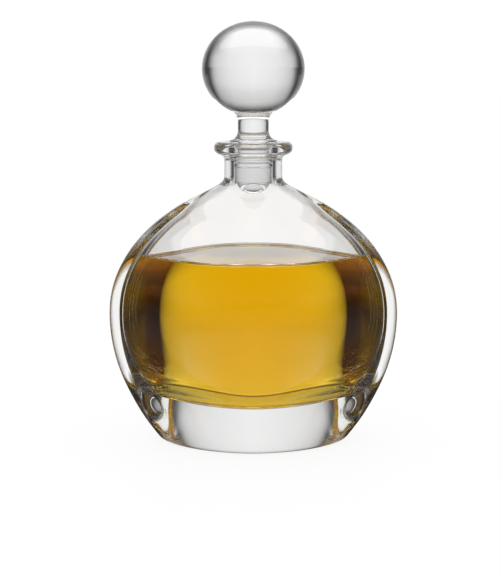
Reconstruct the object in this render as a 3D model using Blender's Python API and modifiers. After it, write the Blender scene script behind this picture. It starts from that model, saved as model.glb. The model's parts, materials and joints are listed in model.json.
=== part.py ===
"""Glass decanter with a ball stopper, for Blender 4.5. Metres, +Z up, foot centred on the origin.

The bottle is a thick pressed body. Seen from above it is a pointed oval: a full crown in front and
behind, and a rounded rim down each side. It rises from a flat foot to a round neck with a lip. The
solid glass stopper stands in a clear sleeve that seals it in the bore, and liquid fills the cavity.
"""

import math

import bmesh
import bpy
import numpy as np

# Body of the bottle
BODY_WIDTH = 0.1411
BODY_DEPTH = 0.1132
SHOULDER_HEIGHT = 0.1299
FOOT_ROUNDING = 0.0020

# Rim down each side: how far it stands out past the faces, its thickness where it leaves them, and
# the fillet in that corner
RIM_REACH = 0.0059
RIM_THICKNESS = 0.0118
RIM_FILLET = 0.0010

# Glass left round the cavity. The heel is where the wall thickens down to the floor.
FACE_WALL = 0.0054
CORNER_WALL = 0.0037
CORNER_RADIUS = 0.0080
FLOOR_THICKNESS = 0.0230
FLOOR_CORNER_RADIUS = 0.0025
HEEL_HEIGHT = 0.0360
HEEL_SIDE_DRAW = 0.0120
HEEL_FACE_DRAW = 0.0030

# Neck and lip
NECK_DIAMETER = 0.0281
BORE_DIAMETER = 0.0191
MOUTH_HEIGHT = 0.1458
LIP_DIAMETER = 0.0381
LIP_THICKNESS = 0.0057
LIP_EDGE_RADIUS = 0.0024
LIP_FILLET_RADIUS = 0.0034
MOUTH_ROUNDING = 0.0012

# Stopper, its rises measured up from the mouth
BALL_CENTRE_RISE = 0.0352
WAIST_LOW_RISE = 0.0056
WAIST_HIGH_RISE = 0.0095
BALL_DIAMETER = 0.0497
BALL_HEIGHT = 0.0457
TRUMPET_DIAMETER = 0.0236
WAIST_DIAMETER = 0.0150
COLLAR_DIAMETER = 0.0231
COLLAR_EDGE_HEIGHT = 0.0005
PLUG_DIAMETER = 0.0150
PLUG_LENGTH = 0.0265
PLUG_END_RADIUS = 0.0052

# Sealing sleeve on the plug
SLEEVE_LENGTH = 0.0140
SLEEVE_TOP_DROP = 0.0055
SLEEVE_SKIRT_GROOVE = 0.0004
RIB_COUNT = 3
RIB_PITCH = 0.0022
RIB_HEIGHT = 0.0009

# Liquid
FILL_HEIGHT = 0.0892

# Gap that touching pieces keep
CLEARANCE = 0.0003

# Half width of the body: shares of SHOULDER_HEIGHT, and of the way from the neck to the widest place
OUTLINE_SHARES = (
    (0.000, 0.556), (0.030, 0.613), (0.080, 0.705), (0.150, 0.801), (0.230, 0.893), (0.310, 0.956),
    (0.390, 0.994), (0.470, 1.007), (0.540, 0.997), (0.610, 0.956), (0.680, 0.879), (0.745, 0.779),
    (0.800, 0.657), (0.850, 0.517), (0.890, 0.376), (0.920, 0.248), (0.945, 0.125), (0.965, 0.037),
    (0.983, 0.000), (1.000, 0.000),
)

# Half depth of the body, as shares of the same two
DEPTH_SHARES = (
    (0.000, 0.623), (0.045, 0.672), (0.094, 0.721), (0.170, 0.798), (0.264, 0.881), (0.360, 0.948),
    (0.453, 0.997), (0.517, 1.013), (0.574, 0.990), (0.630, 0.932), (0.687, 0.833), (0.743, 0.700),
    (0.800, 0.551), (0.849, 0.409), (0.890, 0.274), (0.925, 0.147), (0.948, 0.073), (0.968, 0.021),
    (0.983, 0.000), (1.000, 0.000),
)

# Where the plain oval of the foot has turned into the pointed oval, and where that turns into the
# round neck, as shares of SHOULDER_HEIGHT
POINTED_SHARE = 0.275
ROUND_START_SHARE = 0.835
ROUND_END_SHARE = 0.965

# Form of the sections: the plain oval, crown of a face and of the cavity, curve of its heel, and the
# part of the half turn that the rim takes
OVAL_POWER = 1.85
FACE_CROWN_POWER = 1.85
CAVITY_CROWN_POWER = 2.1
CAVITY_RUN_POWER = 1.7
HEEL_POWER = 2.2
RIM_ANGLE_SHARE = 0.19

# Steps round a section, up the body and round a turned piece
FACE_STEPS = 18
RIM_STEPS = 6
BODY_STEPS = 30
CAVITY_STEPS = 24
CORNER_STEPS = 3
FOOT_STEPS = 3
ARC_STEPS = 5
BALL_STEPS = 22
TURN_STEPS = 40
SPLINE_SAMPLES = 24

MERGE_DISTANCE = 0.00005


def clear_scene():
    """Take away what the start-up scene holds."""
    for item in list(bpy.data.objects):
        bpy.data.objects.remove(item, do_unlink=True)


def make_collection(name):
    """Return a new collection linked to the scene."""
    collection = bpy.data.collections.new(name)
    bpy.context.scene.collection.children.link(collection)
    return collection


def make_material(name, colour, roughness, transmission=1.0, index=1.52):
    """Return a Principled BSDF material."""
    material = bpy.data.materials.new(name)
    material.use_nodes = True
    shader = material.node_tree.nodes["Principled BSDF"]
    shader.inputs["Base Color"].default_value = (*colour, 1.0)
    shader.inputs["Roughness"].default_value = roughness
    shader.inputs["Metallic"].default_value = 0.0
    shader.inputs["Transmission Weight"].default_value = transmission
    shader.inputs["IOR"].default_value = index
    material.diffuse_color = (*colour, 1.0)
    return material


def add_object(name, mesh, material, collection):
    """Link a mesh as one named object with its material, smooth apart from its sharp edges."""
    piece = bpy.data.objects.new(name, mesh)
    collection.objects.link(piece)
    mesh.materials.append(material)
    mesh.shade_smooth()
    mesh.set_sharp_from_angle(angle=math.radians(30))
    return piece


def smooth_table(shares, height, smallest, largest):
    """Return heights and sizes along a cubic B-spline, from the smallest size to the largest."""
    points = np.vstack((shares[0], shares[0], shares, shares[-1], shares[-1]))
    t = np.linspace(0.0, 1.0, SPLINE_SAMPLES, endpoint=False)[:, None]
    weights = (
        (1 - t) ** 3 / 6,
        (3 * t**3 - 6 * t**2 + 4) / 6,
        (-3 * t**3 + 3 * t**2 + 3 * t + 1) / 6,
        t**3 / 6,
    )
    spans = [
        sum(weight * points[start + place] for place, weight in enumerate(weights))
        for start in range(len(points) - 3)
    ]
    heights, sizes = np.vstack((*spans, points[-1:])).T
    return heights * height, smallest + (largest - smallest) * sizes / sizes.max()


HALF_WIDTHS = smooth_table(OUTLINE_SHARES, SHOULDER_HEIGHT, NECK_DIAMETER / 2, BODY_WIDTH / 2)
HALF_DEPTHS = smooth_table(DEPTH_SHARES, SHOULDER_HEIGHT, NECK_DIAMETER / 2, BODY_DEPTH / 2)


def half_width(height):
    """Half width of the body, over the rims, at a height."""
    return float(np.interp(height, *HALF_WIDTHS))


def half_depth(height):
    """Half depth of the body at a height."""
    return float(np.interp(height, *HALF_DEPTHS))


def heel_share(height):
    """Share of the heel in the wall: all of it at the floor, none above the heel."""
    above = (height - FLOOR_THICKNESS) / HEEL_HEIGHT
    return (1 - min(max(above, 0.0), 1.0)) ** HEEL_POWER


def ease(height, start_share, end_share):
    """Smooth step from 0 to 1 between two shares of SHOULDER_HEIGHT."""
    along = (height / SHOULDER_HEIGHT - start_share) / (end_share - start_share)
    along = min(max(along, 0.0), 1.0)
    return along * along * (3 - 2 * along)


def roundness(height):
    """Share of the round neck in a section: none in the body, all of it at the neck."""
    return ease(height, ROUND_START_SHARE, ROUND_END_SHARE)


def plainness(height):
    """Share of the plain oval in a section: all of it at the foot, none where the rim is full."""
    return 1 - ease(height, 0.0, POINTED_SHARE)


def section_angles():
    """Angles round a half section from -Y to +Y by way of +X, closer together over the rim."""
    rim = RIM_ANGLE_SHARE * math.pi / 2
    face = np.linspace(0.0, math.pi / 2 - rim, FACE_STEPS // 2 + 1)
    side = np.linspace(math.pi / 2 - rim, math.pi / 2 + rim, RIM_STEPS + 1)
    return np.concatenate((face[:-1], side, math.pi - face[::-1][1:]))


def close_section(right_half):
    """Turn the right half of a section, from -Y to +Y, into a closed ring of points."""
    left_half = [(-x, y) for x, y in reversed(right_half[1:-1])]
    return list(right_half) + left_half


def oval_half(width, depth, power):
    """Right half of an oval from its half sizes: a power of 2 is an ellipse, a lower one is leaner."""
    points = []
    for angle in section_angles():
        run = math.cos(angle)
        x = width * math.sin(angle) ** (2 / power)
        points.append((x, -math.copysign(depth * abs(run) ** (2 / power), run)))
    return points


def circle_half(radius):
    """Right half of a circle."""
    return oval_half(radius, radius, 2.0)


def face_depth(x, edge, thickness, crown):
    """Half depth of the outer section at x: the crowned face and the rim, with a fillet between."""
    face = thickness + crown * (1 - (x / edge) ** FACE_CROWN_POWER)
    rim = thickness * math.sqrt(max(1 - ((x - edge) / RIM_REACH) ** 2, 0.0))
    near = max(1 - abs(face - rim) / RIM_FILLET, 0.0)
    return max(face, rim) + near * near * RIM_FILLET / 4


def body_half(height):
    """Right half of the outer section: half a face, the rim, and half the other face."""
    edge = half_width(height) - RIM_REACH
    thickness = RIM_THICKNESS / 2
    crown = half_depth(height) - thickness
    rim = RIM_ANGLE_SHARE * math.pi / 2
    points = []
    for angle in section_angles():
        side = angle - math.pi / 2
        if abs(side) < rim:
            x = edge + RIM_REACH * math.cos(side / rim * math.pi / 2)
        else:
            x = edge * math.sin(angle) / math.cos(rim)
        points.append((x, math.copysign(face_depth(x, edge, thickness, crown), side)))
    return points


def cavity_half(height, inset):
    """Right half of the cavity's section, a pointed oval with rounded points, less an inset."""
    heel = heel_share(height)
    width = half_width(height) - RIM_REACH - CORNER_WALL - heel * HEEL_SIDE_DRAW - inset
    depth = half_depth(height) - FACE_WALL - heel * HEEL_FACE_DRAW - inset
    blunt = CORNER_RADIUS * width / (CAVITY_CROWN_POWER * depth * depth)
    longest = math.sqrt(1 + blunt * blunt) - blunt
    points = []
    for angle in section_angles():
        run = abs(math.cos(angle)) ** CAVITY_RUN_POWER
        rise = (math.sqrt(run * run + blunt * blunt) - blunt) / longest
        x = width * (1 - min(rise, 1.0)) ** (1 / CAVITY_CROWN_POWER)
        points.append((x, -math.copysign(depth * run, math.cos(angle))))
    return points


def blend(first, second, share):
    """Mix two half sections point by point."""
    return [
        (a[0] * (1 - share) + b[0] * share, a[1] * (1 - share) + b[1] * share)
        for a, b in zip(first, second)
    ]


def body_ring(height, inset=0.0):
    """Ring of the outer surface at a height, drawn in by an inset."""
    reach = half_width(height)
    depth = half_depth(height)
    half = blend(body_half(height), oval_half(reach, depth, OVAL_POWER), plainness(height))
    half = blend(half, oval_half(reach, depth, 2.0), roundness(height))
    ring = close_section(half)
    return [(x * (1 - inset / reach), y * (1 - inset / reach), height) for x, y in ring]


def cavity_ring(height, inset=0.0):
    """Ring of the cavity's wall at a height, drawn in by an inset."""
    wall = (NECK_DIAMETER - BORE_DIAMETER) / 2 + inset
    round_half = oval_half(half_width(height) - wall, half_depth(height) - wall, 2.0)
    half = blend(cavity_half(height, inset), round_half, roundness(height))
    return [(x, y, height) for x, y in close_section(half)]


def round_ring(radius, height):
    """Ring of a round section."""
    return [(x, y, height) for x, y in close_section(circle_half(radius))]


def arc(centre_radius, centre_height, radius, start, end, steps=ARC_STEPS):
    """Points (radius, height) along an arc, its angles in degrees from the +X direction."""
    angles = [math.radians(start + (end - start) * step / steps) for step in range(steps + 1)]
    return [
        (centre_radius + radius * math.cos(a), centre_height + radius * math.sin(a)) for a in angles
    ]


def loft(name, rings):
    """Return a closed mesh through rings of equal length, with a flat end on the first and last."""
    shape = bmesh.new()
    levels = [[shape.verts.new(point) for point in ring] for ring in rings]
    count = len(rings[0])
    for low, high in zip(levels, levels[1:]):
        for here in range(count):
            there = (here + 1) % count
            shape.faces.new((low[here], low[there], high[there], high[here]))
    shape.faces.new(reversed(levels[0]))
    shape.faces.new(levels[-1])
    mesh = bpy.data.meshes.new(name)
    shape.to_mesh(mesh)
    shape.free()
    return mesh


def turned(name, profile, material, collection):
    """Return an object turned round the Z axis from a profile of (radius, height), top to bottom."""
    mesh = bpy.data.meshes.new(name)
    edges = [(here, here + 1) for here in range(len(profile) - 1)]
    mesh.from_pydata([(radius, 0.0, height) for radius, height in profile], edges, [])
    piece = bpy.data.objects.new(name, mesh)
    collection.objects.link(piece)
    mesh.materials.append(material)
    screw = piece.modifiers.new("Turn", "SCREW")
    screw.axis = "Z"
    screw.steps = TURN_STEPS
    screw.render_steps = TURN_STEPS
    screw.use_merge_vertices = True
    screw.merge_threshold = MERGE_DISTANCE
    screw.use_smooth_shade = True
    return piece


def foot_rings():
    """Rings of the rounded edge of the foot, from the flat underside up."""
    rings = []
    for step in range(FOOT_STEPS):
        turn = math.pi / 2 * step / FOOT_STEPS
        height = FOOT_ROUNDING * (1 - math.cos(turn))
        rings.append(body_ring(height, FOOT_ROUNDING * (1 - math.sin(turn))))
    return rings


def neck_rings():
    """Rings of the neck, the lip and the bore, up the outside and down the inside."""
    neck = NECK_DIAMETER / 2
    lip = LIP_DIAMETER / 2
    bore = BORE_DIAMETER / 2
    lip_low = MOUTH_HEIGHT - LIP_THICKNESS
    profile = arc(neck + LIP_FILLET_RADIUS, lip_low - LIP_FILLET_RADIUS, LIP_FILLET_RADIUS, 180, 90)
    edge = lip - LIP_EDGE_RADIUS
    profile += arc(edge, lip_low + LIP_EDGE_RADIUS, LIP_EDGE_RADIUS, -90, 0)
    profile += arc(edge, MOUTH_HEIGHT - LIP_EDGE_RADIUS, LIP_EDGE_RADIUS, 0, 90)
    profile += arc(bore + MOUTH_ROUNDING, MOUTH_HEIGHT - MOUTH_ROUNDING, MOUTH_ROUNDING, 90, 180)
    return [round_ring(radius, height) for radius, height in profile]


def floor_rings(inset, floor):
    """Rings of the rounded corner between the cavity's wall and its floor, from the top down."""
    start = floor + FLOOR_CORNER_RADIUS
    rings = []
    for step in range(1, CORNER_STEPS + 1):
        turn = math.pi / 2 * step / CORNER_STEPS
        draw = FLOOR_CORNER_RADIUS * (1 - math.cos(turn))
        ring = cavity_ring(start, inset + draw)
        height = start - FLOOR_CORNER_RADIUS * math.sin(turn)
        rings.append([(x, y, height) for x, y, _ in ring])
    return rings


def make_bottle(collection):
    """Bottle: foot, body, neck and lip outside, then the bore and the cavity inside."""
    heights = np.linspace(FOOT_ROUNDING, SHOULDER_HEIGHT, BODY_STEPS + 1)
    rings = foot_rings() + [body_ring(height) for height in heights] + neck_rings()
    inner_low = FLOOR_THICKNESS + FLOOR_CORNER_RADIUS
    for height in np.linspace(SHOULDER_HEIGHT, inner_low, CAVITY_STEPS + 1):
        rings.append(cavity_ring(height))
    rings += floor_rings(0.0, FLOOR_THICKNESS)
    material = make_material("bottle_glass", (0.93, 0.95, 0.95), 0.02)
    return add_object("bottle", loft("bottle", rings), material, collection)


def make_liquid(collection):
    """Liquid: fills the cavity to its level, clear of the wall by the usual gap."""
    floor = FLOOR_THICKNESS + CLEARANCE
    rings = floor_rings(CLEARANCE, floor)[::-1]
    for height in np.linspace(floor + FLOOR_CORNER_RADIUS, FILL_HEIGHT, CAVITY_STEPS // 2 + 1):
        rings.append(cavity_ring(height, CLEARANCE))
    material = make_material("amber_spirit", (0.80, 0.45, 0.02), 0.02, index=1.36)
    return add_object("liquid", loft("liquid", rings), material, collection)


def ball_profile():
    """Points of the ball from its top down to where the trumpet under it starts."""
    wide = BALL_DIAMETER / 2
    tall = BALL_HEIGHT / 2
    centre = MOUTH_HEIGHT + BALL_CENTRE_RISE
    last = math.pi - math.asin(TRUMPET_DIAMETER / BALL_DIAMETER)
    points = [(0.0, centre + tall)]
    for step in range(1, BALL_STEPS + 1):
        turn = last * step / BALL_STEPS
        points.append((wide * math.sin(turn), centre + tall * math.cos(turn)))
    return points


def hollow_curve(start, end, flat_end):
    """Points of a quarter of an ellipse that bends inwards between two points of a profile."""
    points = []
    for step in range(1, ARC_STEPS + 1):
        turn = math.pi / 2 * step / ARC_STEPS
        along = 1 - math.cos(turn) if flat_end else math.sin(turn)
        down = math.sin(turn) if flat_end else 1 - math.cos(turn)
        radius = start[0] + (end[0] - start[0]) * along
        points.append((radius, start[1] + (end[1] - start[1]) * down))
    return points


def make_stopper(collection):
    """Stopper: ball, trumpet, waist, collar on the lip, and the plug with its rounded end."""
    waist = WAIST_DIAMETER / 2
    collar = COLLAR_DIAMETER / 2
    plug = PLUG_DIAMETER / 2
    seat = MOUTH_HEIGHT + CLEARANCE
    plug_end = seat - PLUG_LENGTH
    waist_low = (waist, MOUTH_HEIGHT + WAIST_LOW_RISE)
    profile = ball_profile()
    profile += hollow_curve(profile[-1], (waist, MOUTH_HEIGHT + WAIST_HIGH_RISE), False)
    profile.append(waist_low)
    profile += hollow_curve(waist_low, (collar, seat + COLLAR_EDGE_HEIGHT), True)
    profile.append((collar, seat))
    profile.append((plug, seat))
    profile += arc(plug - PLUG_END_RADIUS, plug_end + PLUG_END_RADIUS, PLUG_END_RADIUS, 0, -90)
    profile.append((0.0, plug_end))
    material = make_material("stopper_glass", (0.95, 0.96, 0.97), 0.02)
    return turned("stopper", profile, material, collection)


def make_stopper_seal(collection):
    """Sleeve round the plug, with ribs that press on the bore."""
    inner = PLUG_DIAMETER / 2 + CLEARANCE
    outer = BORE_DIAMETER / 2 - CLEARANCE
    groove = outer - SLEEVE_SKIRT_GROOVE
    top = MOUTH_HEIGHT - SLEEVE_TOP_DROP
    low = top - SLEEVE_LENGTH
    profile = [(inner, top)]
    for rib in range(RIB_COUNT):
        rib_top = top - rib * RIB_PITCH
        profile.append((outer, rib_top))
        profile.append((outer, rib_top - RIB_HEIGHT))
        profile.append((groove, rib_top - RIB_HEIGHT - SLEEVE_SKIRT_GROOVE))
        profile.append((groove, rib_top - RIB_PITCH + SLEEVE_SKIRT_GROOVE))
    profile += [(groove, low), (inner, low), (inner, top)]
    material = make_material("clear_plastic", (0.93, 0.93, 0.92), 0.20, transmission=0.9, index=1.49)
    return turned("stopper_seal", profile, material, collection)


def main():
    """Build the decanter."""
    clear_scene()
    decanter = make_collection("glass_decanter")
    make_bottle(decanter)
    make_liquid(decanter)
    make_stopper(decanter)
    make_stopper_seal(decanter)


main()
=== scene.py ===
"""Looks of the glass decanter: thick pressed glass, its stopper and sleeve, and the spirit inside.

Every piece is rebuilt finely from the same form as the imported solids, which give its sizes, and gets
clear glass, amber spirit or soft plastic. The studio is a pale floor and a bright back wall with dim
sides, which draw the edges of the glass.
"""

from __future__ import annotations

import json
import logging
import math
from dataclasses import dataclass, field
from enum import Enum
from typing import Any, Iterable, Sequence

import bmesh
import bpy
import numpy as np
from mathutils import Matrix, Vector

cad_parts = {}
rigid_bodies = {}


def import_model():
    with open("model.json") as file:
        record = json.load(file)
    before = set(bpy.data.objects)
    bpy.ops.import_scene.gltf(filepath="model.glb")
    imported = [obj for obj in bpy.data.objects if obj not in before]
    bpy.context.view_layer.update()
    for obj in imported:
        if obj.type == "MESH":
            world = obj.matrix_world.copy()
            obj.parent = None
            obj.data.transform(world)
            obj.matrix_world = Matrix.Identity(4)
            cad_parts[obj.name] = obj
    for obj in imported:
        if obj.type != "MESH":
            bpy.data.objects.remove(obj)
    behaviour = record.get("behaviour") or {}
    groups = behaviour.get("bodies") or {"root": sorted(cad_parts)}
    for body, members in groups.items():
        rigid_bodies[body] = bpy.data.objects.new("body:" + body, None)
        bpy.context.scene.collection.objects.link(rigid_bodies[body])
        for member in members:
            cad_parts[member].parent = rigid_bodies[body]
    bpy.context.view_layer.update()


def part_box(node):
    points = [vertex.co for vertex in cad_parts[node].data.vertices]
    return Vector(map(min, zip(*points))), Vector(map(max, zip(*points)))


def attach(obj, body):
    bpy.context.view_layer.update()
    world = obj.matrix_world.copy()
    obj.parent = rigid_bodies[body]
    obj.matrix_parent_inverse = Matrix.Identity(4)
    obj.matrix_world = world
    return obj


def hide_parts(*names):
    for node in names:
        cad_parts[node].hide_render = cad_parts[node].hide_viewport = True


LOG = logging.getLogger("decanter")

# Gap that touching pieces keep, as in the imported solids
PIECE_GAP = 0.0003

Point = tuple[float, float]
Ring = list[tuple[float, float, float]]


class Body(Enum):
    """Bodies of the frame that the pieces ride on."""

    VESSEL = "vessel"
    SEAL = "seal"
    STOPPER = "stopper"


class Node(Enum):
    """Solids of the frame that the fine pieces stand for."""

    BOTTLE = "bottle"
    LIQUID = "liquid"
    SEAL = "stopper_seal"
    STOPPER = "stopper"


class Ray(Enum):
    """Kinds of ray that the studio answers in its own way."""

    CAMERA = "Is Camera Ray"
    GLOSSY = "Is Glossy Ray"
    TRANSMISSION = "Is Transmission Ray"


class Wire:
    """Output of a shader node that can stand in a Python sum."""

    def __init__(self, sheet: NodeSheet, socket: bpy.types.NodeSocket) -> None:
        """Keep the node sheet and the socket."""
        self.sheet = sheet
        self.socket = socket

    def _math(self, operation: str, first: Any, second: Any) -> Wire:
        """Add one Math node."""
        return self.sheet.node("ShaderNodeMath", {"operation": operation}, {0: first, 1: second})

    def __add__(self, other: Any) -> Wire:
        """Add a value."""
        return self._math("ADD", self, other)

    __radd__ = __add__

    def __sub__(self, other: Any) -> Wire:
        """Take a value away."""
        return self._math("SUBTRACT", self, other)

    def __rsub__(self, other: Any) -> Wire:
        """Take this away from a value."""
        return self._math("SUBTRACT", other, self)

    def __mul__(self, other: Any) -> Wire:
        """Multiply by a value."""
        return self._math("MULTIPLY", self, other)

    __rmul__ = __mul__

    def __truediv__(self, other: Any) -> Wire:
        """Divide by a value."""
        return self._math("DIVIDE", self, other)

    def __pow__(self, other: Any) -> Wire:
        """Raise to a power."""
        return self._math("POWER", self, other)

    def larger(self, other: Any) -> Wire:
        """Larger of this and a value."""
        return self._math("MAXIMUM", self, other)


class NodeSheet:
    """Node tree of a material or the world, with short calls to fill it."""

    def __init__(self, owner: bpy.types.Material | bpy.types.World) -> None:
        """Switch nodes on and empty the tree."""
        owner.use_nodes = True
        self.tree = owner.node_tree
        self.tree.nodes.clear()

    def node(self, kind: str, settings: dict[str, Any], values: dict[Any, Any], out: Any = 0) -> Wire:
        """Add a node.

        Args:
            kind: Type name of the node.
            settings: Properties, set before the sockets. The key "stops" holds a ramp's stops.
            values: Numbers, colours or wires by socket name or number.
            out: Name or number of the output to return.

        Returns:
            The chosen output as a wire.
        """
        made = self.tree.nodes.new(kind)
        for name, value in settings.items():
            if name == "stops":
                self._set_stops(made.color_ramp, value)
            else:
                setattr(made, name, value)
        for name, value in values.items():
            if isinstance(value, Wire):
                self.tree.links.new(value.socket, made.inputs[name])
            else:
                made.inputs[name].default_value = value
        return Wire(self, made.outputs[out] if made.outputs else None)

    @staticmethod
    def _set_stops(ramp: bpy.types.ColorRamp, stops: Sequence[tuple[float, Any]]) -> None:
        """Write the stops of a colour ramp.

        Args:
            ramp: The ramp to fill.
            stops: Place of each stop, and its grey value or colour.
        """
        while len(ramp.elements) < len(stops):
            ramp.elements.new(1.0)
        for element, (place, value) in zip(ramp.elements, stops):
            element.position = place
            element.color = (*value, 1.0) if isinstance(value, tuple) else (value, value, value, 1.0)

    def ramp(self, factor: Wire, stops: Sequence[tuple[float, Any]]) -> Wire:
        """Add a colour ramp on a factor."""
        return self.node("ShaderNodeValToRGB", {"stops": stops}, {"Fac": factor}, "Color")

    def noise(self, place: Wire, scale: float, detail: float = 2.0) -> Wire:
        """Add three-dimensional noise of a scale per metre on a place."""
        values = {"Vector": place, "Scale": scale, "Detail": detail}
        return self.node("ShaderNodeTexNoise", {}, values, "Fac")


def face_outwards(mesh: Any) -> None:
    """Turn all faces of a mesh outwards and shade it smooth.

    Args:
        mesh: A closed mesh.
    """
    shape = bmesh.new()
    shape.from_mesh(mesh)
    bmesh.ops.recalc_face_normals(shape, faces=shape.faces)
    if shape.calc_volume(signed=True) < 0:
        bmesh.ops.reverse_faces(shape, faces=shape.faces)
    shape.to_mesh(mesh)
    shape.free()
    mesh.shade_smooth()


def add_piece(name: str, mesh: Any, finish: bpy.types.Material) -> bpy.types.Object:
    """Link a mesh as an object at the origin and give it a finish.

    Args:
        name: Name of the object.
        mesh: Mesh with its place in it.
        finish: Its only material.

    Returns:
        The new object.
    """
    piece = bpy.data.objects.new(name, mesh)
    bpy.context.scene.collection.objects.link(piece)
    mesh.materials.clear()
    mesh.materials.append(finish)
    return piece


def arc(centre: Point, radius: float, start: float, end: float, steps: int) -> list[Point]:
    """Return points (radius, height) along an arc.

    Args:
        centre: Its centre.
        radius: Its radius.
        start: Angle of the first point, in degrees from the direction of growing radius.
        end: Angle of the last point.
        steps: Number of steps between them.

    Returns:
        The points, both ends among them.
    """
    angles = [math.radians(start + (end - start) * step / steps) for step in range(steps + 1)]
    return [(centre[0] + radius * math.cos(a), centre[1] + radius * math.sin(a)) for a in angles]


def straight(start: Point, end: Point, steps: int) -> list[Point]:
    """Return the points of a straight run, without its first one.

    Args:
        start: Where it starts.
        end: Where it ends.
        steps: Number of steps.

    Returns:
        One point a step.
    """
    shares = [step / steps for step in range(1, steps + 1)]
    return [
        (start[0] + (end[0] - start[0]) * share, start[1] + (end[1] - start[1]) * share)
        for share in shares
    ]


def loft(name: str, rings: Sequence[Ring], flat_steps: int = 12) -> Any:
    """Return a closed mesh through rings of equal length, with a flat disc on each end.

    Args:
        name: Name of the mesh.
        rings: Rings of points from one end to the other.
        flat_steps: Rings that each flat end takes on its way to its middle.

    Returns:
        The new mesh.
    """
    first, last = np.array(rings[0]), np.array(rings[-1])
    middles = [first.mean(axis=0), last.mean(axis=0)]
    shares = [step / flat_steps for step in range(1, flat_steps)]
    low = [middles[0] + (first - middles[0]) * share for share in shares]
    high = [middles[1] + (last - middles[1]) * share for share in reversed(shares)]
    levels = [*low, *[np.array(ring) for ring in rings], *high]
    count = len(first)
    points = [tuple(point) for level in levels for point in level]
    points += [tuple(middle) for middle in middles]
    faces: list[tuple[int, ...]] = []
    for level in range(len(levels) - 1):
        start = level * count
        for here in range(count):
            there = (here + 1) % count
            faces.append((start + here, start + there, start + count + there, start + count + here))
    top = (len(levels) - 1) * count
    low_middle = len(points) - 2
    high_middle = len(points) - 1
    for here in range(count):
        there = (here + 1) % count
        faces.append((there, here, low_middle))
        faces.append((top + here, top + there, high_middle))
    mesh = bpy.data.meshes.new(name)
    mesh.from_pydata(points, [], faces)
    face_outwards(mesh)
    return mesh


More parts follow.
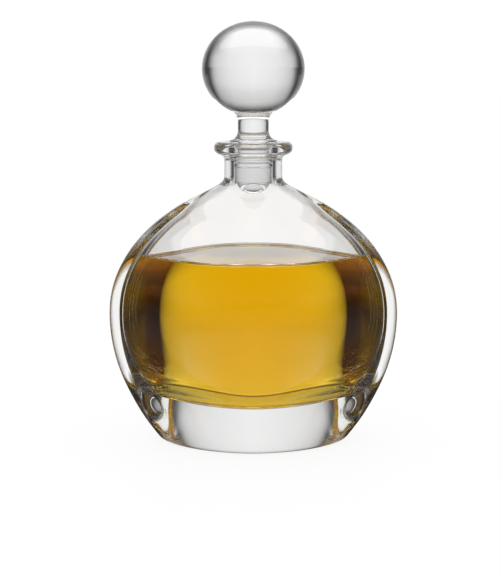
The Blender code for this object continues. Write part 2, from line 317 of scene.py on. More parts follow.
@dataclass
class BottleForm:
    """Form of the bottle: pointed oval sections with a rim down each side, round at the neck."""

    width: float
    depth: float
    mouth: float
    floor: float
    fill: float
    shoulder_share: float = 0.891
    foot_rounding: float = 0.0020

    # Rim down each side, the glass round the cavity, and the heel where that glass thickens
    rim_reach: float = 0.0059
    rim_thickness: float = 0.0118
    rim_fillet: float = 0.0010
    face_wall: float = 0.0054
    corner_wall: float = 0.0037
    corner_radius: float = 0.0080
    floor_corner: float = 0.0025
    heel_height: float = 0.0360
    heel_side_draw: float = 0.0120
    heel_face_draw: float = 0.0030

    # Neck and lip
    neck: float = 0.0281
    bore: float = 0.0191
    lip: float = 0.0381
    lip_thickness: float = 0.0057
    lip_edge: float = 0.0024
    lip_fillet: float = 0.0034
    mouth_rounding: float = 0.0012

    # Form of the sections, and where one kind turns into the next as shares of the shoulder's height
    oval_power: float = 1.85
    crown_power: float = 1.85
    cavity_power: float = 2.1
    cavity_run_power: float = 1.7
    heel_power: float = 2.2
    pointed_share: float = 0.275
    round_start_share: float = 0.835
    round_end_share: float = 0.965
    rim_angle_share: float = 0.19

    # Steps round a section, and up the body and the cavity
    face_steps: int = 120
    rim_steps: int = 32
    body_steps: int = 100
    cavity_steps: int = 90
    arc_steps: int = 8

    # Half width and half depth: shares of the shoulder's height, and of the way from neck to widest
    outline_shares: tuple[Point, ...] = (
        (0.000, 0.556), (0.030, 0.613), (0.080, 0.705), (0.150, 0.801), (0.230, 0.893),
        (0.310, 0.956), (0.390, 0.994), (0.470, 1.007), (0.540, 0.997), (0.610, 0.956),
        (0.680, 0.879), (0.745, 0.779), (0.800, 0.657), (0.850, 0.517), (0.890, 0.376),
        (0.920, 0.248), (0.945, 0.125), (0.965, 0.037), (0.983, 0.000), (1.000, 0.000),
    )
    depth_shares: tuple[Point, ...] = (
        (0.000, 0.623), (0.045, 0.672), (0.094, 0.721), (0.170, 0.798), (0.264, 0.881),
        (0.360, 0.948), (0.453, 0.997), (0.517, 1.013), (0.574, 0.990), (0.630, 0.932),
        (0.687, 0.833), (0.743, 0.700), (0.800, 0.551), (0.849, 0.409), (0.890, 0.274),
        (0.925, 0.147), (0.948, 0.073), (0.968, 0.021), (0.983, 0.000), (1.000, 0.000),
    )
    spline_samples: int = 24
    shoulder: float = field(init=False)
    _widths: Any = field(init=False)
    _depths: Any = field(init=False)
    _angles: Any = field(init=False)

    def __post_init__(self) -> None:
        """Work out the outline and depth curves and the angles of a section."""
        self.shoulder = self.mouth * self.shoulder_share
        self._widths = self._smooth(self.outline_shares, self.width / 2)
        self._depths = self._smooth(self.depth_shares, self.depth / 2)
        rim = self.rim_angle_share * math.pi / 2
        face = np.linspace(0.0, math.pi / 2 - rim, self.face_steps // 2 + 1)
        side = np.linspace(math.pi / 2 - rim, math.pi / 2 + rim, self.rim_steps + 1)
        self._angles = np.concatenate((face[:-1], side, math.pi - face[::-1][1:]))

    @classmethod
    def from_frame(cls) -> BottleForm:
        """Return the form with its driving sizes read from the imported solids."""
        low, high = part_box(Node.BOTTLE.value)
        liquid_low, liquid_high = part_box(Node.LIQUID.value)
        size = high - low
        return cls(size.x, size.y, high.z, liquid_low.z - PIECE_GAP, liquid_high.z)

    def _smooth(self, shares: Iterable[Point], largest: float) -> Any:
        """Smooth a table of half sizes with a cubic B-spline.

        Args:
            shares: Rows of height and half size, as shares.
            largest: Half size at the widest place.

        Returns:
            Heights and half sizes, in metres.
        """
        table = np.array(shares)
        points = np.vstack((table[0], table[0], table, table[-1], table[-1]))
        t = np.linspace(0.0, 1.0, self.spline_samples, endpoint=False)[:, None]
        weights = (
            (1 - t) ** 3 / 6,
            (3 * t**3 - 6 * t**2 + 4) / 6,
            (-3 * t**3 + 3 * t**2 + 3 * t + 1) / 6,
            t**3 / 6,
        )
        spans = [
            sum(weight * points[start + place] for place, weight in enumerate(weights))
            for start in range(len(points) - 3)
        ]
        heights, sizes = np.vstack((*spans, points[-1:])).T
        smallest = self.neck / 2
        return heights * self.shoulder, smallest + (largest - smallest) * sizes / sizes.max()

    def half_width(self, height: float) -> float:
        """Half width over the rims at a height."""
        return float(np.interp(height, *self._widths))

    def half_depth(self, height: float) -> float:
        """Half depth at a height."""
        return float(np.interp(height, *self._depths))

    def _ease(self, height: float, start_share: float, end_share: float) -> float:
        """Return a smooth step from 0 to 1.

        Args:
            height: Where it is asked for.
            start_share: Where the step starts, as a share of the shoulder's height.
            end_share: Where it ends.

        Returns:
            The step's value there.
        """
        along = (height / self.shoulder - start_share) / (end_share - start_share)
        along = min(max(along, 0.0), 1.0)
        return along * along * (3 - 2 * along)

    def roundness(self, height: float) -> float:
        """Share of the round neck in a section."""
        return self._ease(height, self.round_start_share, self.round_end_share)

    def plainness(self, height: float) -> float:
        """Share of the foot's plain oval in a section."""
        return 1 - self._ease(height, 0.0, self.pointed_share)

    def heel(self, height: float) -> float:
        """Share of the heel in the wall: all of it at the floor, none above the heel."""
        above = (height - self.floor) / self.heel_height
        return (1 - min(max(above, 0.0), 1.0)) ** self.heel_power

    def _oval(self, width: float, depth: float, power: float) -> list[Point]:
        """Return the right half of an oval.

        Args:
            width: Its half width.
            depth: Its half depth.
            power: 2 for an ellipse, less for a leaner oval.

        Returns:
            Points from front to back.
        """
        points = []
        for angle in self._angles:
            run = math.cos(angle)
            x = width * math.sin(angle) ** (2 / power)
            points.append((x, -math.copysign(depth * abs(run) ** (2 / power), run)))
        return points

    def _face_depth(self, x: float, edge: float, thickness: float, crown: float) -> float:
        """Return the half depth of the pointed section: face and rim, with a fillet between.

        Args:
            x: Distance from the middle.
            edge: Where the face meets the rim.
            thickness: Half thickness of the rim there.
            crown: How far the face stands out over that in the middle.

        Returns:
            The half depth at x.
        """
        face = thickness + crown * (1 - (x / edge) ** self.crown_power)
        rim = thickness * math.sqrt(max(1 - ((x - edge) / self.rim_reach) ** 2, 0.0))
        near = max(1 - abs(face - rim) / self.rim_fillet, 0.0)
        return max(face, rim) + near * near * self.rim_fillet / 4

    def _body_half(self, height: float) -> list[Point]:
        """Return the right half of the pointed outer section.

        Args:
            height: Its height.

        Returns:
            Points from front to back.
        """
        edge = self.half_width(height) - self.rim_reach
        thickness = self.rim_thickness / 2
        crown = self.half_depth(height) - thickness
        rim = self.rim_angle_share * math.pi / 2
        points = []
        for angle in self._angles:
            side = angle - math.pi / 2
            if abs(side) < rim:
                x = edge + self.rim_reach * math.cos(side / rim * math.pi / 2)
            else:
                x = edge * math.sin(angle) / math.cos(rim)
            points.append((x, math.copysign(self._face_depth(x, edge, thickness, crown), side)))
        return points

    def _cavity_half(self, height: float, inset: float) -> list[Point]:
        """Return the right half of the cavity's section, a pointed oval with rounded points.

        Args:
            height: Its height.
            inset: How far it is drawn in.

        Returns:
            Points from front to back.
        """
        heel = self.heel(height)
        width = self.half_width(height) - self.rim_reach - self.corner_wall
        width -= heel * self.heel_side_draw + inset
        depth = self.half_depth(height) - self.face_wall - heel * self.heel_face_draw - inset
        blunt = self.corner_radius * width / (self.cavity_power * depth * depth)
        longest = math.sqrt(1 + blunt * blunt) - blunt
        points = []
        for angle in self._angles:
            run = abs(math.cos(angle)) ** self.cavity_run_power
            rise = (math.sqrt(run * run + blunt * blunt) - blunt) / longest
            x = width * (1 - min(rise, 1.0)) ** (1 / self.cavity_power)
            points.append((x, -math.copysign(depth * run, math.cos(angle))))
        return points

    @staticmethod
    def _blend(first: list[Point], second: list[Point], share: float) -> list[Point]:
        """Mix two half sections point by point.

        Args:
            first: The section at a share of 0.
            second: The section at a share of 1.
            share: Share of the second.

        Returns:
            The mixed half section.
        """
        return [
            (a[0] * (1 - share) + b[0] * share, a[1] * (1 - share) + b[1] * share)
            for a, b in zip(first, second)
        ]

    @staticmethod
    def _close(half: list[Point], height: float) -> Ring:
        """Ring at a height from its right half."""
        left = [(-x, y) for x, y in reversed(half[1:-1])]
        return [(x, y, height) for x, y in [*half, *left]]

    def body_ring(self, height: float, inset: float = 0.0) -> Ring:
        """Return a ring of the outer surface.

        Args:
            height: Its height.
            inset: How far it is drawn in at the sides, and in proportion elsewhere.

        Returns:
            The ring.
        """
        reach = self.half_width(height)
        depth = self.half_depth(height)
        plain = self._oval(reach, depth, self.oval_power)
        half = self._blend(self._body_half(height), plain, self.plainness(height))
        half = self._blend(half, self._oval(reach, depth, 2.0), self.roundness(height))
        scale = 1 - inset / reach
        return [(x * scale, y * scale, height) for x, y, _ in self._close(half, height)]

    def cavity_ring(self, height: float, inset: float = 0.0) -> Ring:
        """Return a ring of the cavity's wall.

        Args:
            height: Its height.
            inset: How far it is drawn in.

        Returns:
            The ring.
        """
        wall = (self.neck - self.bore) / 2 + inset
        plain = self._oval(self.half_width(height) - wall, self.half_depth(height) - wall, 2.0)
        half = self._blend(self._cavity_half(height, inset), plain, self.roundness(height))
        return self._close(half, height)

    def round_ring(self, radius: float, height: float) -> Ring:
        """Ring of a round section."""
        return self._close(self._oval(radius, radius, 2.0), height)

    def foot_rings(self) -> list[Ring]:
        """Rings of the rounded edge of the foot, from the flat underside up."""
        rings = []
        for step in range(self.arc_steps):
            turn = math.pi / 2 * step / self.arc_steps
            height = self.foot_rounding * (1 - math.cos(turn))
            rings.append(self.body_ring(height, self.foot_rounding * (1 - math.sin(turn))))
        return rings

    def neck_rings(self) -> list[Ring]:
        """Rings of the neck, the lip and the bore, up the outside and down the inside."""
        neck, bore, lip = self.neck / 2, self.bore / 2, self.lip / 2
        steps = self.arc_steps
        low = self.mouth - self.lip_thickness
        fillet = self.lip_fillet
        profile = straight((neck, self.shoulder), (neck, low - fillet), steps)
        profile += arc((neck + fillet, low - fillet), fillet, 180, 90, steps)[1:]
        edge = lip - self.lip_edge
        profile += arc((edge, low + self.lip_edge), self.lip_edge, -90, 0, steps)
        profile += arc((edge, self.mouth - self.lip_edge), self.lip_edge, 0, 90, steps)[1:]
        rounding = self.mouth_rounding
        profile += straight(profile[-1], (bore + rounding, self.mouth), steps)
        profile += arc((bore + rounding, self.mouth - rounding), rounding, 90, 180, steps)[1:]
        profile += straight(profile[-1], (bore, self.shoulder), 3 * steps)[:-1]
        return [self.round_ring(radius, height) for radius, height in profile]

    def floor_rings(self, inset: float, floor: float) -> list[Ring]:
        """Return the rings of the rounded corner between the cavity's wall and a floor.

        Args:
            inset: How far all rings are drawn in.
            floor: Height of the floor.

        Returns:
            Rings from the top down.
        """
        start = floor + self.floor_corner
        rings = []
        for step in range(1, self.arc_steps + 1):
            turn = math.pi / 2 * step / self.arc_steps
            draw = self.floor_corner * (1 - math.cos(turn))
            height = start - self.floor_corner * math.sin(turn)
            rings.append([(x, y, height) for x, y, _ in self.cavity_ring(start, inset + draw)])
        return rings


@dataclass
class Bottle:
    """Bottle in one piece of glass: foot, body, rims, neck, lip, bore and cavity."""

    form: BottleForm
    finish: bpy.types.Material

    def build(self) -> bpy.types.Object:
        """Return the bottle, riding on the vessel."""
        form = self.form
        heights = np.linspace(form.foot_rounding, form.shoulder, form.body_steps + 1)
        rings = form.foot_rings() + [form.body_ring(height) for height in heights]
        rings += form.neck_rings()
        low = form.floor + form.floor_corner
        for height in np.linspace(form.shoulder, low, form.cavity_steps + 1):
            rings.append(form.cavity_ring(height))
        rings += form.floor_rings(0.0, form.floor)
        piece = add_piece("bottle_glass", loft("bottle_glass", rings), self.finish)
        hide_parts(Node.BOTTLE.value)
        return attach(piece, Body.VESSEL.value)


@dataclass
class Spirit:
    """Liquid that wets the cavity, with a meniscus that climbs the wall."""

    form: BottleForm
    finish: bpy.types.Material
    overlap: float = 0.00004
    meniscus: float = 0.0012
    meniscus_spread: float = 2.5
    meniscus_steps: int = 8
    surface_steps: int = 24

    def build(self) -> bpy.types.Object:
        """Return the liquid, riding on the vessel."""
        form = self.form
        wet = -self.overlap
        rings = form.floor_rings(wet, form.floor + wet)[::-1]
        top = form.fill
        low = form.floor + form.floor_corner
        for height in np.linspace(low, top, form.cavity_steps):
            rings.append(form.cavity_ring(height, wet))
        for step in range(self.meniscus_steps + 1):
            share = step / self.meniscus_steps
            inset = wet + self.meniscus_spread * self.meniscus * share * share
            rise = self.meniscus * (1 - share) ** 2
            ring = form.cavity_ring(top + rise if step == 0 else top, inset)
            rings.append([(x, y, top + rise) for x, y, _ in ring])
        piece = add_piece("spirit", loft("spirit", rings, self.surface_steps), self.finish)
        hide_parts(Node.LIQUID.value)
        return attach(piece, Body.VESSEL.value)


class TurnTree:
    """Geometry Nodes that turn a profile round the Z axis and raise ribs on its outer wall."""

    STEPS = "Turn Steps"
    COUNT = "Profile Points"
    MERGE = "Merge Distance"
    RIBS = "Rib Count"
    PITCH = "Rib Pitch"
    HEIGHT = "Rib Height"
    TOP = "Top Rib Height"
    WALL = "Outer Wall Radius"
    FINISH = "Finish"
    STEP_COUNT = 144
    MERGE_GAP = 0.000002

    def __init__(self) -> None:
        """Build the tree once for all turned pieces."""
        self.tree = bpy.data.node_groups.new("turned_glass", "GeometryNodeTree")
        for name, kind, least in (
            ("Geometry", "NodeSocketGeometry", None),
            (self.STEPS, "NodeSocketInt", 3),
            (self.COUNT, "NodeSocketInt", 3),
            (self.MERGE, "NodeSocketFloat", 0.0),
            (self.RIBS, "NodeSocketInt", 0),
            (self.PITCH, "NodeSocketFloat", 0.0),
            (self.HEIGHT, "NodeSocketFloat", 0.0),
            (self.TOP, "NodeSocketFloat", 0.0),
            (self.WALL, "NodeSocketFloat", 0.0),
            (self.FINISH, "NodeSocketMaterial", None),
        ):
            socket = self.tree.interface.new_socket(name, in_out="INPUT", socket_type=kind)
            if least is not None:
                socket.min_value = least
        self.tree.interface.new_socket("Geometry", in_out="OUTPUT", socket_type="NodeSocketGeometry")
        self._fill()

    def _add(self, kind: str, settings: dict[str, Any], links: dict[Any, Any], out: Any = 0) -> Any:
        """Add a geometry node.

        Args:
            kind: Type name of the node.
            settings: Properties, set before the sockets.
            links: Numbers or sockets by socket name or number.
            out: Name or number of the output to return.

        Returns:
            The chosen output.
        """
        made = self.tree.nodes.new(kind)
        for name, value in settings.items():
            setattr(made, name, value)
        for name, value in links.items():
            if isinstance(value, bpy.types.NodeSocket):
                self.tree.links.new(value, made.inputs[name])
            else:
                made.inputs[name].default_value = value
        return made.outputs[out]

    def _sum(self, operation: str, first: Any, second: Any = 0.0) -> Any:
        """Add one Math node."""
        return self._add("ShaderNodeMath", {"operation": operation}, {0: first, 1: second})

    def _fill(self) -> None:
        """Wire the tree: a grid takes its rows from the profile and its columns from the turn."""
        given = self.tree.nodes.new("NodeGroupInput").outputs
        index = self._add("GeometryNodeInputIndex", {}, {})
        columns = self._sum("ADD", given[self.STEPS], 1.0)
        grid = self._add(
            "GeometryNodeMeshGrid", {}, {"Vertices X": columns, "Vertices Y": given[self.COUNT]}, "Mesh"
        )
        column = self._sum("FLOOR", self._sum("DIVIDE", index, given[self.COUNT]))
        row = self._sum("SUBTRACT", index, self._sum("MULTIPLY", column, given[self.COUNT]))
        place = self._add("GeometryNodeInputPosition", {}, {})
        sampled = self._add(
            "GeometryNodeSampleIndex",
            {"data_type": "FLOAT_VECTOR", "domain": "POINT"},
            {"Geometry": given["Geometry"], "Value": place, "Index": row},
        )
        profile = self._add("ShaderNodeSeparateXYZ", {}, {0: sampled}, "X")
        height = profile.node.outputs["Z"]
        radius = self._sum("ADD", profile, self._rib(profile, height, given))
        turn = self._sum("DIVIDE", self._sum("MULTIPLY", column, math.tau), given[self.STEPS])
        x = self._sum("MULTIPLY", radius, self._sum("COSINE", turn))
        y = self._sum("MULTIPLY", radius, self._sum("SINE", turn))
        turned = self._add("ShaderNodeCombineXYZ", {}, {0: x, 1: y, 2: height})
        placed = self._add("GeometryNodeSetPosition", {}, {"Geometry": grid, "Position": turned})
        merged = self._add(
            "GeometryNodeMergeByDistance", {}, {"Geometry": placed, "Distance": given[self.MERGE]}
        )
        real = self._add("GeometryNodeRealizeInstances", {}, {"Geometry": merged})
        dressed = self._add(
            "GeometryNodeSetMaterial", {}, {"Geometry": real, "Material": given[self.FINISH]}
        )
        end = self.tree.nodes.new("NodeGroupOutput")
        self.tree.links.new(dressed, end.inputs["Geometry"])

    def _rib(self, radius: Any, height: Any, given: Any) -> Any:
        """Wire the rise of the ribs: one rounded rib a pitch, down from the top one.

        Args:
            radius: Radius of the profile's point.
            height: Its height.
            given: Inputs of the tree.

        Returns:
            How far the point moves out.
        """
        down = self._sum("DIVIDE", self._sum("SUBTRACT", given[self.TOP], height), given[self.PITCH])
        wave = self._sum("SINE", self._sum("MULTIPLY", self._sum("FRACT", down), math.pi))
        crest = self._sum("POWER", self._sum("MAXIMUM", wave, 0.0), 2.0)
        below_top = self._sum("GREATER_THAN", down, 0.0)
        above_last = self._sum("LESS_THAN", down, given[self.RIBS])
        outer = self._sum("GREATER_THAN", radius, given[self.WALL])
        mask = self._sum("MULTIPLY", self._sum("MULTIPLY", below_top, above_last), outer)
        return self._sum("MULTIPLY", self._sum("MULTIPLY", crest, given[self.HEIGHT]), mask)

    def turn(self, name: str, profile: Sequence[Point], finish: Any, **inputs: float) -> Any:
        """Return a plain closed mesh turned from a profile.

        Args:
            name: Name of the mesh.
            profile: Points (radius, height) from end to end, or round a closed wall.
            finish: Material of the piece.
            **inputs: Rib sizes by the names count, pitch, height, top and wall.

        Returns:
            The finished mesh.
        """
        line = bpy.data.meshes.new(name)
        edges = [(here, here + 1) for here in range(len(profile) - 1)]
        line.from_pydata([(radius, 0.0, height) for radius, height in profile], edges, [])
        holder = bpy.data.objects.new(name, line)
        bpy.context.scene.collection.objects.link(holder)
        modifier = holder.modifiers.new("Turn", "NODES")
        modifier.node_group = self.tree
        sockets = {item.name: item.identifier for item in self.tree.interface.items_tree
                   if item.in_out == "INPUT"}
        modifier[sockets[self.STEPS]] = self.STEP_COUNT
        modifier[sockets[self.COUNT]] = len(profile)
        modifier[sockets[self.MERGE]] = self.MERGE_GAP
        modifier[sockets[self.RIBS]] = int(inputs.get("count", 0))
        modifier[sockets[self.PITCH]] = float(inputs.get("pitch", 1.0))
        modifier[sockets[self.HEIGHT]] = float(inputs.get("height", 0.0))
        modifier[sockets[self.TOP]] = float(inputs.get("top", 0.0))
        modifier[sockets[self.WALL]] = float(inputs.get("wall", 1.0))
        modifier[sockets[self.FINISH]] = finish
        graph = bpy.context.evaluated_depsgraph_get()
        mesh = bpy.data.meshes.new_from_object(holder.evaluated_get(graph))
        holder.modifiers.remove(modifier)
        bpy.data.objects.remove(holder)
        mesh.name = name
        face_outwards(mesh)
        return mesh


@dataclass
class Stopper:
    """Solid glass stopper: ball, trumpet, waist, collar on the lip, and the plug."""

    finish: bpy.types.Material
    tree: TurnTree
    mouth: float
    trumpet: float = 0.0236
    waist: float = 0.0150
    ball_height: float = 0.0457
    waist_low_rise: float = 0.0056
    waist_high_rise: float = 0.0095
    collar: float = 0.0231
    collar_edge: float = 0.0005
    plug: float = 0.0150
    plug_end_radius: float = 0.0070
    sharp_angle: float = 40.0
    ball_steps: int = 96
    curve_steps: int = 20
    collar_steps: int = 3

    def _hollow(self, start: Point, end: Point, flat_end: bool) -> list[Point]:
        """Return a quarter of an ellipse that bends inwards between two points.

        Args:
            start: Its upper end, which isn't repeated.
            end: Its lower end.
            flat_end: Whether it runs out flat at its lower end, and else upright.

        Returns:
            One point a step.
        """
        points = []
        for step in range(1, self.curve_steps + 1):
            turn = math.pi / 2 * step / self.curve_steps
            along = 1 - math.cos(turn) if flat_end else math.sin(turn)
            down = math.sin(turn) if flat_end else 1 - math.cos(turn)
            radius = start[0] + (end[0] - start[0]) * along
            points.append((radius, start[1] + (end[1] - start[1]) * down))
        return points

    def _profile(self) -> list[Point]:
        """Points from the top of the ball to the end of the plug."""
        low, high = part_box(Node.STOPPER.value)
        wide = (high.x - low.x) / 2
        tall = self.ball_height / 2
        centre = high.z - tall
        last = math.pi - math.asin(self.trumpet / 2 / wide)
        points = [(0.0, high.z)]
        for step in range(1, self.ball_steps + 1):
            turn = last * step / self.ball_steps
            points.append((wide * math.sin(turn), centre + tall * math.cos(turn)))
        waist = self.waist / 2
        seat = self.mouth + PIECE_GAP
        waist_low = (waist, self.mouth + self.waist_low_rise)
        points += self._hollow(points[-1], (waist, self.mouth + self.waist_high_rise), False)
        points += straight(points[-1], waist_low, self.curve_steps)
        points += self._hollow(waist_low, (self.collar / 2, seat + self.collar_edge), True)
        points += straight(points[-1], (self.collar / 2, seat), self.collar_steps)
        plug = self.plug / 2
        points += straight(points[-1], (plug, seat), self.curve_steps)
        bend = self.plug_end_radius
        points += straight(points[-1], (plug, low.z + bend), 2 * self.curve_steps)
        points += arc((plug - bend, low.z + bend), bend, 0, -90, self.curve_steps)[1:]
        points += straight(points[-1], (0.0, low.z), self.curve_steps)
        return points

    def build(self) -> bpy.types.Object:
        """Return the stopper, riding on its own body."""
        mesh = self.tree.turn("stopper_ball", self._profile(), self.finish)
        piece = add_piece("stopper_ball", mesh, self.finish)
        mesh.set_sharp_from_angle(angle=math.radians(self.sharp_angle))
        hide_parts(Node.STOPPER.value)
        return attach(piece, Body.STOPPER.value)


@dataclass
class StopperSeal:
    """Clear sleeve round the plug, with soft ribs that press on the bore."""

    finish: bpy.types.Material
    tree: TurnTree
    plug: float = 0.0150
    rib_count: int = 3
    rib_pitch: float = 0.0022
    rib_height: float = 0.0004
    edge: float = 0.0003
    overlap: float = 0.00004
    wall_steps: int = 90
    edge_steps: int = 6

    def build(self) -> bpy.types.Object:
        """Return the sleeve, riding on its own body."""
        low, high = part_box(Node.SEAL.value)
        inner = self.plug / 2 - self.overlap
        outer = high.x - self.rib_height
        edge = self.edge
        turns = self.edge_steps
        profile = arc((outer - edge, high.z - edge), edge, 90, 0, turns)
        profile += straight(profile[-1], (outer, low.z + edge), self.wall_steps)
        profile += arc((outer - edge, low.z + edge), edge, 0, -90, turns)[1:]
        profile += arc((inner + edge, low.z + edge), edge, -90, -180, turns)
        profile += straight(profile[-1], (inner, high.z - edge), self.wall_steps // 3)
        profile += arc((inner + edge, high.z - edge), edge, 180, 90, turns)[1:]
        profile.append(profile[0])
        mesh = self.tree.turn(
            "sealing_sleeve",
            profile,
            self.finish,
            count=self.rib_count,
            pitch=self.rib_pitch,
            height=self.rib_height,
            top=high.z - edge,
            wall=(inner + outer) / 2,
        )
        piece = add_piece("sealing_sleeve", mesh, self.finish)
        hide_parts(Node.SEAL.value)
        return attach(piece, Body.SEAL.value)


@dataclass(frozen=True)
class ClearFinish:
    """Clear solid, glass or plastic, with the faint waves of a pressed or moulded surface."""

    name: str
    index: float
    tint: tuple[float, float, float]
    roughness: float
    wave_height: float
    wave_scale: float
    gloss: float = 0.5
    haze_finer: float = 8.0
    pale_share: float = 0.996
    tone_span: Point = (0.3, 0.7)

    def make(self) -> bpy.types.Material:
        """Return the material."""
        material = bpy.data.materials.new(self.name)
        sheet = NodeSheet(material)
        place = sheet.node("ShaderNodeTexCoord", {}, {}, "Object")
        waves = sheet.noise(place, self.wave_scale)
        bump = sheet.node(
            "ShaderNodeBump", {}, {"Strength": 1.0, "Distance": self.wave_height, "Height": waves}
        )
        haze = sheet.noise(place, self.haze_finer * self.wave_scale) * self.roughness
        pale = tuple(self.pale_share * value for value in self.tint)
        tone = sheet.ramp(waves, list(zip(self.tone_span, (pale, self.tint))))
        shader = sheet.node(
            "ShaderNodeBsdfPrincipled",
            {},
            {
                "Base Color": tone,
                "Roughness": haze,
                "Normal": bump,
                "Metallic": 0.0,
                "Transmission Weight": 1.0,
                "IOR": self.index,
                "Specular IOR Level": self.gloss,
            },
        )
        sheet.node("ShaderNodeOutputMaterial", {}, {"Surface": shader})
        return material


@dataclass(frozen=True)
class SpiritFinish:
    """Amber spirit, which takes its colour from the depth that light has to cross."""

    index: float = 1.36
    colour: tuple[float, float, float] = (0.989, 0.911, 0.340)
    density: float = 85.0
    ripple_scale: float = 60.0
    ripple_height: float = 0.00001

    def make(self) -> bpy.types.Material:
        """Return the material."""
        material = bpy.data.materials.new("amber_spirit")
        sheet = NodeSheet(material)
        place = sheet.node("ShaderNodeTexCoord", {}, {}, "Object")
        ripple = sheet.noise(place, self.ripple_scale)
        bump = sheet.node("ShaderNodeBump", {}, {"Distance": self.ripple_height, "Height": ripple})
        shader = sheet.node(
            "ShaderNodeBsdfPrincipled",
            {},
            {
                "Base Color": (1.0, 1.0, 1.0, 1.0),
                "Roughness": 0.0,
                "Normal": bump,
                "Transmission Weight": 1.0,
                "IOR": self.index,
            },
        )
        values = {"Color": (*self.colour, 1.0), "Density": self.density}
        volume = sheet.node("ShaderNodeVolumeAbsorption", {}, values)
        sheet.node("ShaderNodeOutputMaterial", {}, {"Surface": shader, "Volume": volume})
        return material


@dataclass
class Studio:
    """Pale floor, bright back wall with dim sides, a light overhead, and the camera.

    A level is what glass sees in a direction, and 1 is white. Headings are degrees from straight back,
    the same on both sides. Climbs are degrees over the horizon, and reaches metres from the middle.
    """

    # World: a wall behind, a strip beside it, the sides, the front, and light overhead
    wall_headings: tuple[Point, ...] = (
        (0, 0.97), (11, 0.92), (19, 0.87), (25, 0.80), (32, 0.70), (37, 0.58), (41, 0.38), (45, 0.16),
        (49, 0.06), (60, 0.03), (180, 0.0),
    )
    wall_climbs: tuple[Point, ...] = (
        (3, 0.97), (10, 0.94), (14, 0.90), (19, 0.80), (25, 0.74), (31, 0.68), (36, 0.50), (39, 0.32),
        (45, 0.06), (60, 0.02),
    )
    strip_headings: tuple[Point, ...] = ((50, 0.0), (54, 1.0), (68, 1.0), (75, 0.0))
    strip_climbs: tuple[Point, ...] = ((4, 0.0), (8, 0.45), (20, 0.45), (28, 0.65), (35, 0.5), (42, 0.0))
    side_headings: tuple[Point, ...] = (
        (70, 0.0), (85, 0.7), (100, 1.0), (118, 1.0), (135, 0.3), (150, 0.0),
    )
    side_climbs: tuple[Point, ...] = (
        (2, 0.16), (5, 0.34), (8, 0.48), (12, 0.45), (20, 0.20), (30, 0.06), (45, 0.0),
    )
    front_headings: tuple[Point, ...] = ((120, 0.0), (150, 1.0), (180, 1.0))
    front_climbs: tuple[Point, ...] = (
        (2, 0.48), (5, 0.20), (9, 0.05), (14, 0.10), (19, 0.26), (30, 0.12), (45, 0.0),
    )
    top_edges: tuple[Point, ...] = (
        (0, 60), (45, 54), (53, 47), (62, 35), (75, 33), (98, 42), (120, 52), (150, 60), (180, 64),
    )
    top_softness: float = 1.5
    top_light: float = 1.45

    # Floor: its far part, its close part with the bottle's painted shadow, a painted pool of light behind
    # the foot, dim sides, and a painted sheen for reflections
    floor_size: float = 8.0
    floor_drop: float = 0.0004
    floor_grey: float = 0.8
    floor_glow: float = 1.05
    glow_share: float = 0.85
    far_headings: tuple[Point, ...] = (
        (0, 0.95), (11, 0.91), (19, 0.87), (25, 0.80), (32, 0.72), (37, 0.64), (43, 0.40), (49, 0.12),
        (54, 0.05), (180, 0.03),
    )
    close_headings: tuple[Point, ...] = (
        (17, 1.0), (22, 0.93), (26, 0.82), (29, 0.74), (32, 0.62), (36, 0.45), (41, 0.28), (46, 0.14),
        (54, 0.04), (180, 0.03),
    )
    # Painted shadow of the bottle: the close floor behind it gets darker towards the bottle
    close_shadow_depths: tuple[Point, ...] = (
        (0.10, 0.10), (0.13, 0.20), (0.165, 0.38), (0.19, 0.60), (0.215, 0.82), (0.24, 0.98),
    )
    far_start: float = 0.35
    far_end: float = 0.85
    # Painted pool of light on the floor just behind the foot
    lit_spot_headings: tuple[Point, ...] = ((0, 0.45), (12, 0.45), (24, 0.0))
    lit_spot_reaches: tuple[Point, ...] = ((0.065, 1.0), (0.08, 0.0))
    dim_headings: tuple[Point, ...] = (
        (60, 0.0), (66, 1.0), (75, 0.85), (115, 0.85), (125, 0.75), (140, 0.8), (180, 0.8),
    )
    # Darker close to the bottle: the bottle's painted shade on the floor's sides
    dim_reaches: tuple[Point, ...] = (
        (0.06, 0.08), (0.12, 0.55), (0.18, 0.80), (0.30, 0.75), (0.45, 0.62), (0.60, 0.36), (1.0, 0.18),
    )
    # Painted sheen: a glow on the floor in front of the bottle that only reflections see
    sheen_headings: tuple[Point, ...] = ((95, 0.0), (112, 1.0), (150, 0.36), (180, 0.33))
    sheen_reaches: tuple[Point, ...] = (
        (0.055, 1.0), (0.07, 0.80), (0.09, 0.55), (0.12, 0.45), (0.16, 0.34), (0.20, 0.20), (0.26, 0.0),
    )
    sheen_light: float = 0.9
    # Share of the strip, sides, front and dim floor that reflections lose: painted shade in reflections
    # only
    reflection_dimming: float = 0.8

    # Camera, its distances and heights in pixels of the photograph
    photo_height: int = 586
    photo_width: int = 500
    pixel: float = 0.00049
    axis_column: float = 253.3
    distance: float = 1950.0
    eye_height: float = 413.0
    aim_height: float = 146.5
    sensor: float = 24.0

    # Turns that light may take. The mirror turns were picked: more make the rims lighter.
    path_turns: int = 32
    path_mirrors: int = 16

    def build(self) -> None:
        """Make the floor, the world and the camera."""
        self._make_floor()
        self._make_world()
        self._make_camera()
        self._deepen_paths()

    @staticmethod
    def _axes(sheet: NodeSheet, kind: str) -> list[Wire]:
        """X, Y and Z of a texture coordinate."""
        place = sheet.node("ShaderNodeTexCoord", {}, {}, kind)
        x = sheet.node("ShaderNodeSeparateXYZ", {}, {0: place})
        return [Wire(sheet, output) for output in x.socket.node.outputs]

    @staticmethod
    def _rays(sheet: NodeSheet) -> list[Wire]:
        """Whether the camera, a reflection or light through glass asks, each 0 or 1."""
        path = sheet.node("ShaderNodeLightPath", {}, {})
        return [Wire(sheet, path.socket.node.outputs[ray.value]) for ray in Ray]

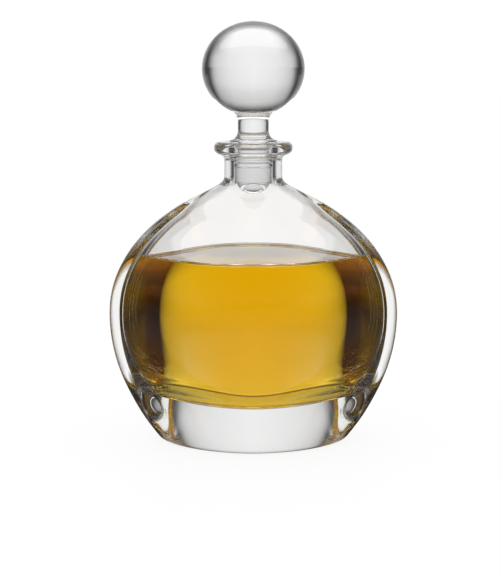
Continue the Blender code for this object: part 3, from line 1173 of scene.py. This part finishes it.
    @staticmethod
    def _heading(sheet: NodeSheet, x: Wire, y: Wire) -> Wire:
        """Wire the share of a half turn between straight back, +Y, and a heading.

        Args:
            sheet: Where the nodes go.
            x: Place to the side. Both sides are alike.
            y: Place to the back.

        Returns:
            0 straight back, 1 straight to the front.
        """
        side = sheet.node("ShaderNodeMath", {"operation": "ABSOLUTE"}, {0: x})
        turn = sheet.node("ShaderNodeMath", {"operation": "ARCTAN2"}, {0: side, 1: y})
        return turn / math.pi

    @staticmethod
    def _turns(levels: Sequence[Point]) -> list[Point]:
        """Ramp stops from levels at headings in degrees."""
        return [(heading / 180, level) for heading, level in levels]

    @staticmethod
    def _climbs(levels: Sequence[Point]) -> list[Point]:
        """Ramp stops from levels at climbs in degrees."""
        return [((climb + 90) / 180, level) for climb, level in levels]

    def _make_floor(self) -> None:
        """Pale floor. It keeps the shadow, and glass sees its far side bright and its sides dim, with the
        bottle's painted shadow close behind it, a painted pool of light behind the foot and a painted
        sheen in reflections.
        """
        half = self.floor_size / 2
        drop = -self.floor_drop
        corners = [(-half, -half, drop), (half, -half, drop), (half, half, drop), (-half, half, drop)]
        mesh = bpy.data.meshes.new("floor")
        mesh.from_pydata(corners, [], [(0, 1, 2, 3)])
        material = bpy.data.materials.new("pale_floor")
        sheet = NodeSheet(material)
        x, y, _ = self._axes(sheet, "Object")
        camera, glossy, through = self._rays(sheet)
        heading = self._heading(sheet, x, y)
        reach = (x * x + y * y) ** 0.5
        beyond = sheet.ramp(reach, [(self.far_start, 0.0), (self.far_end, 1.0)])
        # The close part carries the bottle's painted shadow
        close = sheet.ramp(heading, self._turns(self.close_headings)) * sheet.ramp(y, self.close_shadow_depths)
        far = sheet.ramp(heading, self._turns(self.far_headings))
        # Painted pool of light just behind the foot
        lit_spot = sheet.ramp(heading, self._turns(self.lit_spot_headings)) * sheet.ramp(reach, self.lit_spot_reaches)
        level = close * (1 - beyond) + far * beyond + lit_spot
        dim = sheet.ramp(heading, self._turns(self.dim_headings)) * sheet.ramp(reach, self.dim_reaches)
        # Painted sheen that only reflections see
        sheen = sheet.ramp(heading, self._turns(self.sheen_headings))
        sheen = sheen * sheet.ramp(reach, self.sheen_reaches) * self.sheen_light
        # Reflections see the dim sides weaker, as painted shade, and they alone see the painted sheen
        level = level + dim * (1 - glossy * self.reflection_dimming) + sheen * glossy
        glow = sheet.node("ShaderNodeEmission", {}, {"Color": level.larger(camera * self.floor_glow)})
        grey = (self.floor_grey, self.floor_grey, self.floor_grey, 1.0)
        plain = sheet.node("ShaderNodeBsdfPrincipled", {}, {"Base Color": grey})
        seen = (camera * self.glow_share).larger(glossy).larger(through)
        mixed = sheet.node("ShaderNodeMixShader", {}, {0: seen, 1: plain, 2: glow})
        sheet.node("ShaderNodeOutputMaterial", {}, {"Surface": mixed})
        add_piece("floor", mesh, material)

    def _make_world(self) -> None:
        """White to the camera and to matt surfaces; to glass, a bright wall with dimmer sides."""
        world = bpy.data.worlds.new("studio")
        bpy.context.scene.world = world
        sheet = NodeSheet(world)
        x, y, z = self._axes(sheet, "Generated")
        _, glossy, through = self._rays(sheet)
        heading = self._heading(sheet, x, y)
        climb = sheet.node("ShaderNodeMath", {"operation": "ARCSINE"}, {0: z}) / math.pi + 0.5
        parts = [
            sheet.ramp(heading, self._turns(headings)) * sheet.ramp(climb, self._climbs(climbs))
            for headings, climbs in (
                (self.wall_headings, self.wall_climbs),
                (self.strip_headings, self.strip_climbs),
                (self.side_headings, self.side_climbs),
                (self.front_headings, self.front_climbs),
            )
        ]
        wall, strip, side, front = parts
        # Reflections see the strip, sides and front weaker: painted shade in reflections only
        level = wall + (strip + side + front) * (1 - glossy * self.reflection_dimming)
        edge = sheet.ramp(heading, [(turn / 180, (low + 90) / 180) for turn, low in self.top_edges])
        over = (climb - edge) * (180 / self.top_softness)
        level = level + sheet.ramp(over, [(0.0, 0.0), (1.0, 1.0)]) * self.top_light
        lit = sheet.node("ShaderNodeBackground", {}, {"Color": level})
        white = sheet.node("ShaderNodeBackground", {}, {"Color": (1.0, 1.0, 1.0, 1.0)})
        in_glass = glossy.larger(through)
        mixed = sheet.node("ShaderNodeMixShader", {}, {0: in_glass, 1: white, 2: lit})
        sheet.node("ShaderNodeOutputWorld", {}, {"Surface": mixed})

    def _deepen_paths(self) -> None:
        """Let light turn often enough to cross thick glass, where it would end black."""
        paths = bpy.context.scene.cycles
        paths.max_bounces = self.path_turns
        paths.glossy_bounces = self.path_mirrors
        paths.transmission_bounces = self.path_turns

    def _make_camera(self) -> None:
        """Camera at the photograph's angle, with the decanter's axis on its own column."""
        data = bpy.data.cameras.new("camera")
        camera = bpy.data.objects.new("camera", data)
        scene = bpy.context.scene
        scene.collection.objects.link(camera)
        drop = self.eye_height - self.aim_height
        camera.location = (0.0, -self.distance * self.pixel, self.eye_height * self.pixel)
        camera.rotation_euler = (math.pi / 2 - math.atan2(drop, self.distance), 0.0, 0.0)
        data.sensor_fit = "VERTICAL"
        data.sensor_height = self.sensor
        data.lens = self.sensor * math.hypot(self.distance, drop) / self.photo_height
        data.clip_start = 0.01
        data.shift_x = (self.photo_width / 2 - self.axis_column) / self.photo_height
        scene.camera = camera


def corners(bounds: Any) -> list[list[float]]:
    """Lowest and highest corners of a box as plain lists."""
    return [[float(value) for value in corner] for corner in bounds]


def main() -> None:
    """Build the pieces in order, dress them and set up the studio."""
    logging.basicConfig(level=logging.INFO, format="%(message)s")
    for item in list(bpy.data.objects):
        bpy.data.objects.remove(item, do_unlink=True)
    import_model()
    bpy.context.scene.view_settings.view_transform = "Standard"
    glass = ClearFinish("clear_glass", 1.52, (0.998, 1.0, 0.999), 0.004, 0.00001, 30.0).make()
    ball_glass = ClearFinish("ball_glass", 1.52, (0.996, 0.998, 1.0), 0.004, 0.00001, 30.0).make()
    plastic = ClearFinish(
        "clear_plastic", 1.46, (0.998, 0.998, 1.0), 0.01, 0.00001, 200.0, gloss=0.1
    ).make()
    form = BottleForm.from_frame()
    tree = TurnTree()
    pieces = [
        Bottle(form, glass).build(),
        Spirit(form, SpiritFinish().make()).build(),
        Stopper(ball_glass, tree, form.mouth).build(),
        StopperSeal(plastic, tree).build(),
    ]
    Studio().build()


if __name__ == "__main__":
    main()
